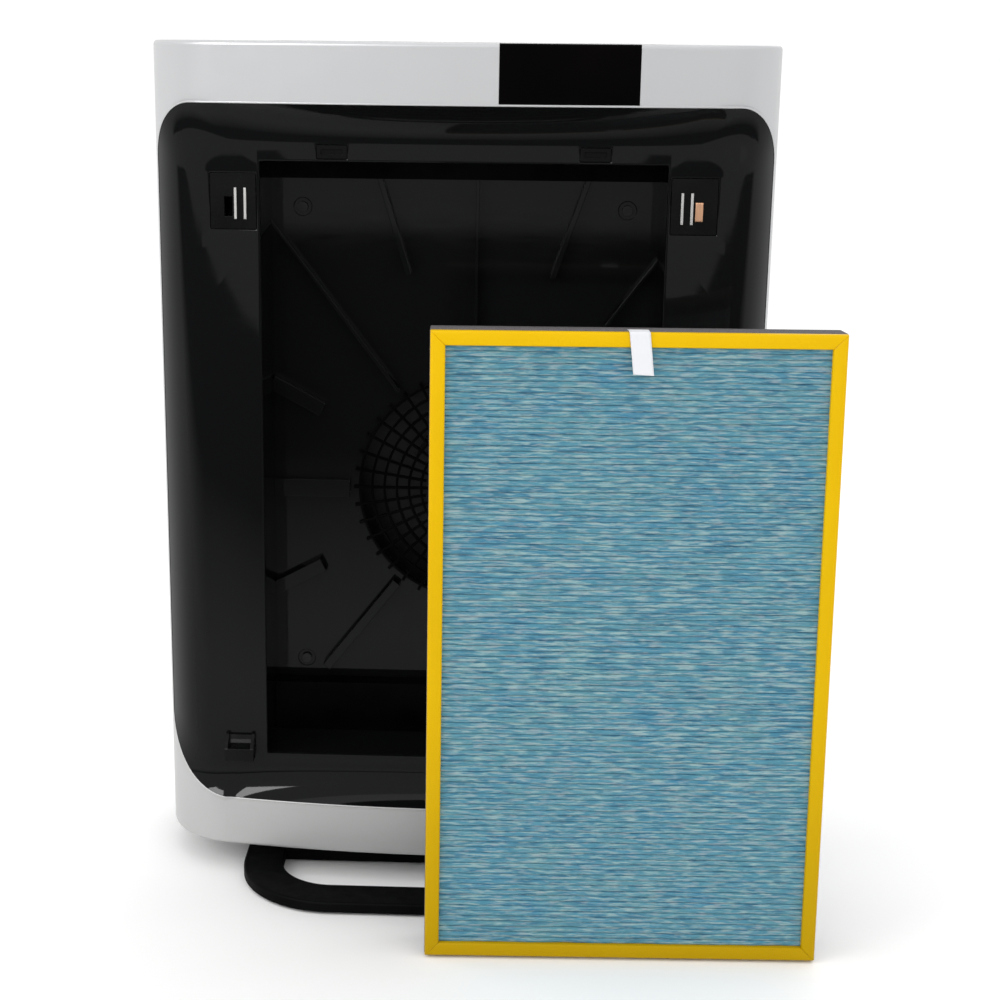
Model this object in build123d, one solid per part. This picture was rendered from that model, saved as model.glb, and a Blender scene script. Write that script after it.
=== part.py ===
from build123d import *
import math
import os

# Floor-standing air purifier: silver shell, black dished front, open filter chamber, ring stand.
# Its filter panel stands on the floor in front of it and its front cover is off.
# Frame: millimetres, +X to the viewer's right, +Y to the back, +Z up.
# The origin is on the floor at the centre of the stand.

# ---- housing ----
WIDTH = 462.0
HEIGHT = 640.0
BASE_Z = 22.0
FRONT_Y = -60.0
BACK_Y = 112.0
SPLIT_Y = 12.0
WALL = 3.0
FRONT_SAG = 23.8
FRONT_CORNER = 60.0
REAR_CORNER = 40.0
EDGE_ROUND = 3.0
SEAM = 0.8
HALF = WIDTH / 2

# ---- black front: outline of its opening, and the dish ----
RIM_Y = FRONT_Y + 51.0
RIM_HALF = 226.7
RIM_Z = (62.0, 597.2)
TOP_CORNER = (30.0, 40.0)
BOTTOM_CORNER = (51.0, 62.0)
FLOOR_Y = FRONT_Y + 22.0
FLOOR_HALF = 191.0
FLOOR_Z = (86.5, 568.0)
LIP = 1.5
SKIN = 3.0
GAP = 0.2

# ---- filter chamber ----
CHAMBER_HALF = 147.7
CHAMBER_Z = (96.5, 555.7)
CHAMBER_BACK_Y = FRONT_Y + 92.5
CHAMBER_WALL = 2.5
LEDGE_DEPTH = 17.0
LEDGE_Z = (137.0, 540.0)
RIB_DEPTH = 9.0
SCREW_X = 124.0
SCREW_Z = (152.0, 517.0)

# Ribs on the back wall: direction in degrees, start and end radius, width.
RIBS = [
    (0, 98, 140, 14),
    (180, 98, 160, 14),
    (53, 98, 290, 2.5),
    (127, 98, 290, 2.5),
    (232, 98, 190, 7),
    (308, 98, 172, 7),
    (28, 135, 180, 11),
    (152, 135, 180, 11),
    (208, 135, 180, 11),
    (332, 135, 180, 11),
    (71, 178, 260, 4),
    (107, 178, 260, 4),
    (90, 98, 245, 2.5),
]

# ---- fan ----
FAN_X = 10.0
FAN_Z = 297.0
GRILLE_R = 95.0
RING_STEP = 9.7
SPOKES = 40
SCROLL_R = 158.0
SCROLL_BACK_Y = 88.0
SCROLL_TOP_Z = 632.0
SCROLL_WALL = 2.5
WHEEL_R = 122.0
BLADES = 36
MOTOR_R = 44.0
SHAFT_R = 4.0
RUN_CLEAR = 0.05

# ---- control window, in the top band ----
WINDOW_X = (25.0, 124.0)
BOARD_Y = FRONT_Y + 12.0

# ---- cover catches and lugs ----
CATCH_Z = (506.7, 546.8)
CATCH_X = (150.5, 183.8)
POLE_X = (157.5, 164.5)
POLE_Z = (514.0, 536.5)
POLE_WIDTH = 1.8
SLOT_X = (168.0, 173.4)
SLOT_Z = (516.0, 530.0)
PLUNGER_TRAVEL = 2.0
LUG_X = (157.0, 180.0)
LUG_Z = (95.0, 105.0, 114.0)
LUG_DEPTH = 14.0
CLIP_X = (84.0, 106.0)
CLIP_Z = (557.9, 567.5)
CATCH_DEPTH = 18.0

# ---- air outlet in the roof ----
OUTLET_HALF = 150.0
OUTLET_Y = (36.0, 92.0)
SLATS = 7

# ---- back and inside ----
HANDLE_HALF = 62.0
HANDLE_Z = (572.0, 615.0)
HANDLE_DEPTH = 17.0
INLET_X = (-164.0, -138.0)
INLET_Z = (40.0, 62.0)
TRAY_X = (-120.0, -20.0)
LOOM_X = -207.0
LOOM_Z = (72.0, 618.0)
TRAY_Y = (35.0, 95.0)
SENSOR_Y = (37.0, 67.0)
SENSOR_Z = (455.0, 495.0)
VENT_SLOTS = 5
VENT_PITCH = 6.6

# ---- stand ----
STAND_HALF_X = 166.5
STAND_HALF_Y = 118.0
STAND_CORNER = 73.0
STAND_BAR = 31.0
PAD_HEIGHT = 2.0
STAND_TOP_Z = 10.0
CROSSBAR_HALF_Y = 30.0
RISER_X = (85.0, 115.0)
STAND_SCREW_Y = (-16.0, 22.0)

# ---- filter panel, stood on the floor and leaning back a little ----
FILTER_W = 278.0
FILTER_H = 453.0
FILTER_FRAME_T = 30.0
GASKET_T = 6.0
RAIL = 12.0
MEDIA_RECESS = 2.0
FILTER_POS = (122.0, -176.3)
FILTER_TURN = 1.5
FILTER_LEAN = 3.0
TAB_WIDTH = 17.0
TAB_DROP = 30.0
TAB_X = 0.0

# ---- screws ----
SCREW_R = 1.7
HEAD_R = 4.0
BOSS_R = 6.5
BOSS_X = 190.0
BOSS_Z = (52.0, 230.0, 420.0, 598.0)


def block(x0, x1, y0, y1, z0, z1):
    """A box between two opposite corners."""
    centre = Pos((x0 + x1) / 2, (y0 + y1) / 2, (z0 + z1) / 2)
    return centre * Box(x1 - x0, y1 - y0, z1 - z0)


def deep(sketch, y0, y1):
    """A front-view sketch (x, z) given depth from y0 back to y1."""
    return extrude(Plane.XZ.offset(-y0) * sketch, amount=y0 - y1)


def rod(x, z, r, y0, y1):
    """A round bar along Y."""
    return deep(Pos(x, z) * Circle(r), y0, y1)


def pipe(x, z, r, hole_r, y0, y1):
    """A tube along Y."""
    return deep(Pos(x, z) * (Circle(r) - Circle(hole_r)), y0, y1)


def post(x, y, r, z0, z1):
    """A round bar along Z."""
    return extrude(Pos(x, y, z0) * Circle(r), amount=z1 - z0)


def mirrored(solid):
    """The same thing on the other side of the object."""
    return solid.mirror(Plane.YZ)


def both(solid):
    """A solid and its mirror image, as one group."""
    return [solid, mirrored(solid)]


# ---------------------------------------------------------------- housing

def plan_outline(inset):
    """The housing seen from above: bowed front, round corners, straight sides."""
    sag_y = FRONT_Y + FRONT_SAG
    front = ThreePointArc((-HALF, sag_y), (0, FRONT_Y), (HALF, sag_y))
    rest = Polyline((HALF, sag_y), (HALF, BACK_Y), (-HALF, BACK_Y), (-HALF, sag_y))
    face = make_face([front, rest])
    by_y = face.vertices().sort_by(Axis.Y)
    face = fillet(by_y[:2], FRONT_CORNER)
    face = fillet(face.vertices().sort_by(Axis.Y)[-2:], REAR_CORNER)
    return offset(face, amount=-inset) if inset else face


def plan_prism(inset, z0, z1):
    return extrude(Pos(0, 0, z0) * plan_outline(inset), amount=z1 - z0)


def housing_shell():
    """The whole outer shell, before it is split and cut."""
    outer = plan_prism(0, BASE_Z, HEIGHT)
    caps = outer.faces().sort_by(Axis.Z)
    outer = fillet(caps[-1].edges() + caps[0].edges(), EDGE_ROUND)
    return outer - plan_prism(WALL, BASE_Z + WALL, HEIGHT - WALL)


def rim_outline(clear):
    """Front view of the black front: a rectangle with elliptical corners."""
    x = RIM_HALF - clear
    z0, z1 = RIM_Z[0] + clear, RIM_Z[1] - clear
    (tx, tz), (bx, bz) = TOP_CORNER, BOTTOM_CORNER
    right = [
        EllipticalCenterArc((x - bx, z0 + bz), bx, bz, start_angle=270, arc_size=90),
        Line((x, z0 + bz), (x, z1 - tz)),
        EllipticalCenterArc((x - tx, z1 - tz), tx, tz, start_angle=0, arc_size=90),
    ]
    left = [edge.mirror(Plane.YZ) for edge in right]
    top = Line((x - tx, z1), (-x + tx, z1))
    bottom = Line((-x + bx, z0), (x - bx, z0))
    return make_face(right + left + [top, bottom])


def window_cutter(clear):
    x0, x1 = WINDOW_X
    return block(x0 - clear, x1 + clear, FRONT_Y - 5, FRONT_Y + 10, RIM_Z[1], HEIGHT + 5)


def front_housing(shell):
    body = shell & block(-300, 300, FRONT_Y - 5, SPLIT_Y, 0, HEIGHT + 5)
    body -= deep(rim_outline(0), FRONT_Y - 5, RIM_Y)
    body -= window_cutter(GAP)
    seam = block(-300, 300, SPLIT_Y - SEAM, SPLIT_Y, 0, HEIGHT + 5)
    body -= seam - plan_prism(SEAM, BASE_Z + SEAM, HEIGHT - SEAM)
    for side in (-1, 1):
        for z in BOSS_Z:
            x = side * BOSS_X
            web = sorted((x, side * (HALF - 4.5)))
            body += rod(x, z, BOSS_R, SPLIT_Y - 18, SPLIT_Y)
            body += block(web[0], web[1], SPLIT_Y - 18, SPLIT_Y, z - 1.5, z + 1.5)
            body -= rod(x, z, SCREW_R, SPLIT_Y - 15, SPLIT_Y)
        x = side * sum(RISER_X) / 2
        body += post(x, STAND_SCREW_Y[0], 7, BASE_Z + WALL, BASE_Z + 15)
        body -= post(x, STAND_SCREW_Y[0], SCREW_R, BASE_Z, BASE_Z + 12)
    return body


def rear_housing(shell):
    body = shell & block(-300, 300, SPLIT_Y, BACK_Y + 5, 0, HEIGHT + 5)
    body -= block(-OUTLET_HALF, OUTLET_HALF, *OUTLET_Y, HEIGHT - 10, HEIGHT + 5)
    body -= block(*INLET_X, BACK_Y - 10, BACK_Y + 5, *INLET_Z)
    body -= block(-HANDLE_HALF, HANDLE_HALF, BACK_Y - 10, BACK_Y + 5, *HANDLE_Z)
    for k in range(VENT_SLOTS):
        z = SENSOR_Z[0] + VENT_PITCH * (k + 1)
        body -= block(HALF - 5, HALF + 5, SENSOR_Y[0] + 3, SENSOR_Y[1] - 3, z - 1.5, z + 1.5)
    for side in (-1, 1):
        for z in BOSS_Z:
            x = side * BOSS_X
            body += rod(x, z, BOSS_R, SPLIT_Y, BACK_Y - WALL)
            body -= rod(x, z, HEAD_R + 0.5, SPLIT_Y + 12, BACK_Y + 1)
            body -= rod(x, z, SCREW_R + 0.3, SPLIT_Y - 1, BACK_Y)
        x = side * sum(RISER_X) / 2
        body += post(x, STAND_SCREW_Y[1], 7, BASE_Z + WALL, BASE_Z + 15)
        body -= post(x, STAND_SCREW_Y[1], SCREW_R, BASE_Z, BASE_Z + 12)
    return body


def control_window(shell):
    """Glass over the controls: the piece of the front wall that it stands in for."""
    return shell & window_cutter(0)


def control_board():
    y = BOARD_Y
    board = block(27, 122, y, y + 1.6, 604, 634)
    for x in range(38, 120, 15):
        board += block(x - 2.5, x + 2.5, y - 0.8, y, 616, 621)
    return board


def control_bracket():
    y0, roof = BOARD_Y + 1.6, HEIGHT - WALL
    bracket = block(20, 129, y0, y0 + 2, 604, roof)
    return bracket + block(20, 129, y0, y0 + 12, roof - 2, roof)


# ---------------------------------------------------------------- black front

def behind_dish(shift, clear):
    """Everything behind the dished surface, inside the rim."""
    floor_y, rim_y, back_y = FLOOR_Y + shift, RIM_Y + shift, RIM_Y + 20
    x = RIM_HALF + 1
    arcs = [
        TangentArc((FLOOR_HALF, floor_y), (RIM_HALF, rim_y), tangent=(1, 0)),
        TangentArc((-FLOOR_HALF, floor_y), (-RIM_HALF, rim_y), tangent=(-1, 0)),
    ]
    floor = Line((-FLOOR_HALF, floor_y), (FLOOR_HALF, floor_y))
    behind = Polyline((RIM_HALF, rim_y), (x, back_y), (-x, back_y), (-RIM_HALF, rim_y))
    section = make_face([floor, behind] + arcs)
    z0, z1 = RIM_Z[0], RIM_Z[1]
    base = extrude(Pos(0, 0, z0) * section, amount=z1 - z0)
    for rim_z, floor_z, lip in ((z0, FLOOR_Z[0], -LIP), (z1, FLOOR_Z[1], LIP)):
        front_y = FRONT_Y + shift - 2
        ramp = Polyline(
            (floor_y + 1, floor_z - lip / LIP),
            (front_y, rim_z - lip),
            (front_y, rim_z),
            (floor_y + 1, rim_z),
            close=True,
        )
        wedge = extrude(Plane.YZ * make_face(ramp), amount=RIM_HALF + 5, both=True)
        base += wedge & extrude(Pos(0, shift, z0) * plan_outline(0), amount=z1 - z0)
    return base & deep(rim_outline(clear), FRONT_Y - 5, RIM_Y - GAP)


def fascia():
    skin = behind_dish(0, GAP) - behind_dish(SKIN, -1)
    skin -= block(-CHAMBER_HALF, CHAMBER_HALF, FRONT_Y, RIM_Y, *CHAMBER_Z)
    for side in (-1, 1):
        x0, x1 = sorted((side * (CATCH_X[0] - GAP), side * (CATCH_X[1] + GAP)))
        skin -= block(x0, x1, FRONT_Y, RIM_Y, CATCH_Z[0] - GAP, CATCH_Z[1] + GAP)
        x0, x1 = sorted((side * (CLIP_X[0] - GAP), side * (CLIP_X[1] + GAP)))
        skin -= block(x0, x1, FRONT_Y, RIM_Y, CLIP_Z[0] - GAP, CLIP_Z[1] + GAP)
    return skin


def catch_body(side):
    """Housing of one magnetic cover catch, let into the black front."""
    x0, x1 = CATCH_X
    body = block(x0, x1, FLOOR_Y + 0.5, FLOOR_Y + CATCH_DEPTH, *CATCH_Z)
    for x in POLE_X:
        body -= block(x, x + POLE_WIDTH, FLOOR_Y, FLOOR_Y + 14, *POLE_Z)
    magnet_x = (POLE_X[0] + POLE_WIDTH, POLE_X[1])
    body -= block(*magnet_x, FLOOR_Y + 2, FLOOR_Y + 14, *POLE_Z)
    slot = block(SLOT_X[0] - GAP, SLOT_X[1] + GAP, FLOOR_Y, FLOOR_Y + CATCH_DEPTH + 1,
                 SLOT_Z[0] - GAP, SLOT_Z[1] + GAP)
    body -= slot
    return body if side > 0 else mirrored(body)


def catch_poles():
    """Steel pole strips, two in each catch."""
    strips = []
    for x in POLE_X:
        strips += both(block(x, x + POLE_WIDTH, FLOOR_Y - 0.6, FLOOR_Y + 14, *POLE_Z))
    return strips


def catch_magnets():
    """The magnet between each pair of strips."""
    return both(block(POLE_X[0] + POLE_WIDTH, POLE_X[1], FLOOR_Y + 2, FLOOR_Y + 14, *POLE_Z))


def interlock_plunger():
    """Copper-coloured key that the front cover presses to let the fan run."""
    key = block(*SLOT_X, FLOOR_Y - 0.8, FLOOR_Y + CATCH_DEPTH + 2, *SLOT_Z)
    return fillet(key.edges().filter_by(Axis.X).group_by(Axis.Y)[0], 1.0)


def interlock_switch():
    """Microswitch behind the right-hand catch."""
    y0 = FLOOR_Y + CATCH_DEPTH + 2 + PLUNGER_TRAVEL + 0.3
    body = block(SLOT_X[0] - 8, SLOT_X[1] + 8, y0, y0 + 16, SLOT_Z[0] - 6, SLOT_Z[1] + 6)
    return body + switch_arms(y0)


def switch_arms(y0):
    """Two arms that hold the microswitch to the back of its catch."""
    arms = Part()
    for x in (SLOT_X[0] - 8, SLOT_X[1] + 5):
        arms += block(x, x + 3, FLOOR_Y + CATCH_DEPTH, y0 + 4, SLOT_Z[0] - 6, SLOT_Z[0] - 3)
    return arms


def cover_lug():
    """Block low on the black front that the cover's foot hooks over."""
    foot, brow, top = LUG_Z
    front = FLOOR_Y - LUG_DEPTH
    profile = Polyline(
        (FLOOR_Y, foot), (front, foot), (front, brow), (FLOOR_Y - 4, top), (FLOOR_Y, top), close=True
    )
    lug = Pos(LUG_X[0], 0, 0) * extrude(Plane.YZ * make_face(profile), amount=LUG_X[1] - LUG_X[0])
    lug = fillet(lug.edges().group_by(Axis.Y)[0], 1.5)
    x = (LUG_X[0] + LUG_X[1]) / 2
    hollow = block(x - 7, x + 7, FLOOR_Y - LUG_DEPTH + 5, FLOOR_Y - 3, foot - 1, foot + 7)
    return lug - hollow


def filter_clip():
    """Tongue at the chamber's top edge that keeps the filter panel in."""
    x0, x1 = CLIP_X
    tongue = block(x0, x1, FLOOR_Y + 0.6, FLOOR_Y + SKIN, *CLIP_Z)
    return tongue - block(x0 + 3, x1 - 3, FLOOR_Y, FLOOR_Y + 2, CLIP_Z[0] + 3, CLIP_Z[1] - 3)


# ---------------------------------------------------------------- filter chamber

def radial_rib(angle, r0, r1, width):
    """A straight rib on the chamber's back wall, pointing at the fan's centre."""
    bar = Pos((r0 + r1) / 2, 0) * Rectangle(r1 - r0, width)
    return deep(Pos(FAN_X, FAN_Z) * Rot(0, 0, angle) * bar, CHAMBER_BACK_Y - RIB_DEPTH, CHAMBER_BACK_Y)


def filter_chamber():
    """Four walls round the room that the filter panel sits in."""
    half, (z0, z1) = CHAMBER_HALF, CHAMBER_Z
    wall, front_y, back_y = CHAMBER_WALL, FLOOR_Y + SKIN, CHAMBER_BACK_Y
    walls = block(-half - wall, half + wall, front_y, back_y, z0 - wall, z1 + wall)
    for z in (z0 - 8, z1 + wall):
        walls += block(-half, half, front_y, front_y + 2, z, z + 8 - wall)
    return walls - block(-half, half, front_y - 1, back_y + 1, z0, z1)


def chamber_back():
    """The wall between the filter and the fan."""
    half, (z0, z1) = CHAMBER_HALF, CHAMBER_Z
    wall, back_y = CHAMBER_WALL, CHAMBER_BACK_Y
    plate = block(-half - wall, half + wall, back_y, back_y + wall, z0 - wall, z1 + wall)
    plate -= rod(FAN_X, FAN_Z, GRILLE_R - 6, back_y - 1, back_y + 5)
    for x, z in chamber_screw_places():
        plate -= rod(x, z, 7, back_y - 1, back_y + 1)
        plate -= rod(x, z, SCREW_R + 0.3, back_y, back_y + 5)
    return plate


def chamber_ribs():
    """Ribs that stiffen the chamber's back wall."""
    room = block(-CHAMBER_HALF, CHAMBER_HALF, CHAMBER_BACK_Y - RIB_DEPTH, CHAMBER_BACK_Y, *LEDGE_Z)
    return [radial_rib(*rib) & room for rib in RIBS]


def filter_seats():
    """Ledges at the top and bottom of the chamber that the filter's seal presses on."""
    y0, y1 = CHAMBER_BACK_Y - LEDGE_DEPTH, CHAMBER_BACK_Y
    return [
        block(-CHAMBER_HALF, CHAMBER_HALF, y0, y1, CHAMBER_Z[0], LEDGE_Z[0]),
        block(-CHAMBER_HALF, CHAMBER_HALF, y0, y1, LEDGE_Z[1], CHAMBER_Z[1]),
    ]


def chamber_screw_places():
    """Four screws that hold the chamber's back wall to the fan cover."""
    return [(x, z) for x in (-SCREW_X, SCREW_X) for z in SCREW_Z]


def chamber_screws():
    return [
        rod(x, z, HEAD_R, CHAMBER_BACK_Y - 1.5, CHAMBER_BACK_Y + 1)
        + rod(x, z, SCREW_R, CHAMBER_BACK_Y + 1, CHAMBER_BACK_Y + 9)
        for x, z in chamber_screw_places()
    ]


def inlet_grille():
    """Round guard over the fan's inlet: rings on spokes that stick out past the last ring."""
    y0, y1 = CHAMBER_BACK_Y - 3.0, CHAMBER_BACK_Y
    rings = []
    radius = GRILLE_R - 4
    while radius > RING_STEP:
        rings.append(Circle(radius) - Circle(radius - 2.0))
        radius -= RING_STEP
    bars = []
    for k in range(SPOKES):
        r0 = 10.0 if k % 2 == 0 else 38.0
        bar = Pos((r0 + GRILLE_R) / 2, 0) * Rectangle(GRILLE_R - r0, 1.8)
        bars.append(Rot(0, 0, k * 360 / SPOKES) * bar)
    web = Sketch() + (rings + bars)
    return deep(Pos(FAN_X, FAN_Z) * web, y0, y1) + rod(FAN_X, FAN_Z, 11, y0 - 1, y1)


# ---------------------------------------------------------------- fan

def scroll_outline(inset):
    """Front view of the fan housing: a round chamber that opens to the roof."""
    r, top = SCROLL_R - inset, SCROLL_TOP_Z + (5 if inset else 0)
    flare = Polyline(
        (FAN_X - r, FAN_Z),
        (-OUTLET_HALF + inset, top),
        (OUTLET_HALF - inset, top),
        (FAN_X + r, FAN_Z),
        close=True,
    )
    return Pos(FAN_X, FAN_Z) * Circle(r) + make_face(flare)


def scroll_cover():
    """Front plate of the fan housing, with the flared inlet."""
    y0 = CHAMBER_BACK_Y + CHAMBER_WALL
    ears = Pos(0, sum(SCREW_Z) / 2) * Rectangle(2 * SCREW_X + 16, SCREW_Z[1] - SCREW_Z[0] + 16)
    plate = deep(scroll_outline(0) + ears, y0, y0 + 2)
    plate += rod(FAN_X, FAN_Z, GRILLE_R + 6, y0, y0 + 6)
    plate -= rod(FAN_X, FAN_Z, GRILLE_R + 3, y0 - 1, y0 + 7)
    for x, z in chamber_screw_places():
        plate += rod(x, z, 4.5, y0 + 2, y0 + 8)
        plate -= rod(x, z, SCREW_R, y0 - 1, y0 + 8.5)
    return plate


def fan_scroll():
    y0 = CHAMBER_BACK_Y + CHAMBER_WALL + 2
    shell = deep(scroll_outline(0), y0, SCROLL_BACK_Y)
    shell -= deep(scroll_outline(SCROLL_WALL), y0 - 1, SCROLL_BACK_Y - SCROLL_WALL)
    shell -= rod(FAN_X, FAN_Z, MOTOR_R + 2, y0, SCROLL_BACK_Y + 1)
    for x, z in motor_screw_places():
        shell -= rod(x, z, SCREW_R, y0, SCROLL_BACK_Y + 1)
    return shell


def motor_screw_places():
    """Four screws on a circle round the motor."""
    turns = [math.radians(45 + 90 * k) for k in range(4)]
    return [(FAN_X + 60 * math.cos(a), FAN_Z + 60 * math.sin(a)) for a in turns]


def impeller():
    """Forward-curved blower wheel with a deep hub that the motor sits in."""
    disc = pipe(FAN_X, FAN_Z, WHEEL_R, 50, 80, 82)
    ring = pipe(FAN_X, FAN_Z, WHEEL_R, WHEEL_R - 20, 43, 45)
    cup = pipe(FAN_X, FAN_Z, 50, 48, 54, 82)
    face = pipe(FAN_X, FAN_Z, 48.5, SHAFT_R, 54, 56)
    boss = pipe(FAN_X, FAN_Z, 10, SHAFT_R, 50, 60)
    blade = Pos(WHEEL_R - 12, 0) * Rot(0, 0, 32) * Rectangle(25, 1.6)
    blades = [Rot(0, 0, k * 360 / BLADES) * blade for k in range(BLADES)]
    band = Circle(WHEEL_R) - Circle(WHEEL_R - 24)
    blade_web = (Sketch() + blades) & band
    return disc + ring + cup + face + boss + deep(Pos(FAN_X, FAN_Z) * blade_web, 44, 81)


def motor_shaft():
    return rod(FAN_X, FAN_Z, SHAFT_R, 40, 87.5)


def impeller_nut():
    return deep(Pos(FAN_X, FAN_Z) * (RegularPolygon(8, 6) - Circle(SHAFT_R)), 44, 50)


def motor_rotor():
    return pipe(FAN_X, FAN_Z, 22, SHAFT_R, 69, 81)


def motor_stator():
    teeth = [Rot(0, 0, k * 60) * Pos(31, 0) * Rectangle(14, 12) for k in range(6)]
    ring = Circle(MOTOR_R - 2) - Circle(MOTOR_R - 8)
    return deep(Pos(FAN_X, FAN_Z) * (ring + teeth), 69, 81)


def motor_housing():
    can = pipe(FAN_X, FAN_Z, MOTOR_R, MOTOR_R - 2, 62, SCROLL_BACK_Y)
    can += pipe(FAN_X, FAN_Z, MOTOR_R - 1, 8, 62, 64)
    return can + pipe(FAN_X, FAN_Z, 10, 8, 62, 67)


def bearing(y0):
    outer = pipe(FAN_X, FAN_Z, 8, 6.4, y0, y0 + 5)
    inner = pipe(FAN_X, FAN_Z, 5.4, SHAFT_R + RUN_CLEAR, y0, y0 + 5)
    shield = pipe(FAN_X, FAN_Z, 6.5, 5.3, y0 + 0.5, y0 + 4.5)
    return outer + inner + shield


def motor_mount():
    y0 = SCROLL_BACK_Y
    plate = rod(FAN_X, FAN_Z, 70, y0, y0 + 3) + pipe(FAN_X, FAN_Z, 10, 8, y0 - 5, y0)
    for x, z in motor_screw_places():
        plate -= rod(x, z, 5, y0 - 1, y0 + 4)
    return plate


def motor_bushings():
    """Rubber bushes that keep the motor's hum out of the housing."""
    y0 = SCROLL_BACK_Y
    return [pipe(x, z, 5, SCREW_R, y0, y0 + 3) for x, z in motor_screw_places()]


def motor_screws():
    y0 = SCROLL_BACK_Y
    return [
        rod(x, z, HEAD_R, y0 + 3, y0 + 5.5) + rod(x, z, SCREW_R, y0 - 4, y0 + 3)
        for x, z in motor_screw_places()
    ]


def outlet_grille():
    """Louvre in the roof."""
    x, (y0, y1) = OUTLET_HALF - GAP, (OUTLET_Y[0] + GAP, OUTLET_Y[1] - GAP)
    mid_y, depth = (y0 + y1) / 2, y1 - y0
    frame = Rectangle(2 * x, depth) - Rectangle(2 * x - 8, depth - 8)
    pitch = (depth - 8) / (SLATS + 1)
    slats = [Pos(0, pitch * (k + 1) - depth / 2 + 4) * Rectangle(2 * x - 6, 2.6) for k in range(SLATS)]
    ties = [Pos(t * x / 2.5, 0) * Rectangle(2.6, depth - 6) for t in (-1.5, -0.5, 0.5, 1.5)]
    return extrude(Pos(0, mid_y, HEIGHT - 6) * (frame + slats + ties), amount=6)


# ---------------------------------------------------------------- rear and electrics

def handle_cup():
    """Hand grip let into the back."""
    x, (z0, z1) = HANDLE_HALF - GAP, (HANDLE_Z[0] + GAP, HANDLE_Z[1] - GAP)
    y0 = BACK_Y - HANDLE_DEPTH
    cup = block(-x, x, y0, BACK_Y, z0, z1)
    hollow = block(-x + 2, x - 2, y0 + 2, BACK_Y + 1, z0 + 2, z1 - 2)
    return cup - fillet(hollow.edges().filter_by(Axis.Y), 8)


def mains_inlet():
    """Two-pin appliance inlet."""
    (x0, x1), (z0, z1) = INLET_X, INLET_Z
    body = block(x0 + GAP, x1 - GAP, BACK_Y - 22, BACK_Y, z0 + GAP, z1 - GAP)
    return body - inlet_mouth()


def inlet_mouth():
    """The well of the inlet, in which its pins stand."""
    (x0, x1), (z0, z1) = INLET_X, INLET_Z
    well = block(x0 + 3, x1 - 3, BACK_Y - 14, BACK_Y + 1, z0 + 4, z1 - 4)
    return fillet(well.edges().filter_by(Axis.Y), 6)


def inlet_pins():
    x, z = sum(INLET_X) / 2, sum(INLET_Z) / 2
    return [rod(x + dx, z, 1.2, BACK_Y - 14, BACK_Y - 5) for dx in (-4.3, 4.3)]


def power_tray():
    x0, x1 = TRAY_X
    tray = block(x0, x1, *TRAY_Y, BASE_Z + WALL, 80)
    return tray - block(x0 + 2, x1 - 2, TRAY_Y[0] + 2, TRAY_Y[1] - 2, BASE_Z + WALL + 2, 81)


def power_board():
    x0, x1 = TRAY_X
    y0, y1 = TRAY_Y
    board = block(x0 + 2, x1 - 2, y0 + 2, y1 - 2, 33, 34.6)
    board += block(x0 + 10, x0 + 35, y0 + 8, y0 + 34, 34.6, 58)
    board += post(x0 + 55, y0 + 18, 8, 34.6, 62)
    board += post(x0 + 55, y0 + 40, 6, 34.6, 55)
    return board + block(x0 + 70, x1 - 6, y0 + 8, y0 + 12, 34.6, 60)


def air_sensor():
    body = block(HALF - WALL - 26, HALF - WALL, *SENSOR_Y, *SENSOR_Z)
    hollow = block(HALF - WALL - 24, HALF, SENSOR_Y[0] + 2, SENSOR_Y[1] - 2,
                   SENSOR_Z[0] + 2, SENSOR_Z[1] - 2)
    return body - hollow


def wiring_harness():
    """Loom from the power tray up the left side to the control board."""
    low, high = LOOM_Z
    route = FilletPolyline(
        (TRAY_X[0], 60, low),
        (LOOM_X, 60, low),
        (LOOM_X, 60, high),
        (LOOM_X, 0, high),
        (75, 0, high),
        (75, BOARD_Y + 3.6, high),
        radius=15,
    )
    start = Plane(origin=route @ 0, z_dir=route % 0)
    return sweep(start * Circle(2.5), path=route)


def housing_screws():
    screws = []
    for side in (-1, 1):
        for z in BOSS_Z:
            head = rod(side * BOSS_X, z, HEAD_R, SPLIT_Y + 12, SPLIT_Y + 15)
            x = side * BOSS_X
            head -= block(x - 3, x + 3, SPLIT_Y + 14, SPLIT_Y + 16, z - 0.5, z + 0.5)
            screws.append(head + rod(x, z, SCREW_R, SPLIT_Y - 12, SPLIT_Y + 12))
    return screws


# ---------------------------------------------------------------- stand

def stand_ring():
    outer = RectangleRounded(2 * STAND_HALF_X, 2 * STAND_HALF_Y, STAND_CORNER)
    inner = RectangleRounded(
        2 * (STAND_HALF_X - STAND_BAR), 2 * (STAND_HALF_Y - STAND_BAR), STAND_CORNER - STAND_BAR
    )
    ring = extrude(Pos(0, 0, PAD_HEIGHT) * (outer - inner), amount=STAND_TOP_Z - PAD_HEIGHT)
    return fillet(ring.edges().group_by(Axis.Z)[-1], 2.0)


def stand_crossbar():
    x = STAND_HALF_X - STAND_BAR
    bar = block(-x, x, -CROSSBAR_HALF_Y, CROSSBAR_HALF_Y, PAD_HEIGHT, STAND_TOP_Z)
    for side in (-1, 1):
        for y in STAND_SCREW_Y:
            at = side * sum(RISER_X) / 2
            bar -= post(at, y, HEAD_R + 0.4, PAD_HEIGHT - 1, PAD_HEIGHT + 4)
            bar -= post(at, y, SCREW_R + 0.3, PAD_HEIGHT, STAND_TOP_Z + 1)
    return bar


def stand_risers():
    """Blocks that carry the housing clear of the stand."""
    riser = block(*RISER_X, -26, 26 + 4, STAND_TOP_Z, BASE_Z)
    for y in STAND_SCREW_Y:
        riser -= post(sum(RISER_X) / 2, y, SCREW_R + 0.3, STAND_TOP_Z - 1, BASE_Z + 1)
    return both(riser)


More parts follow.
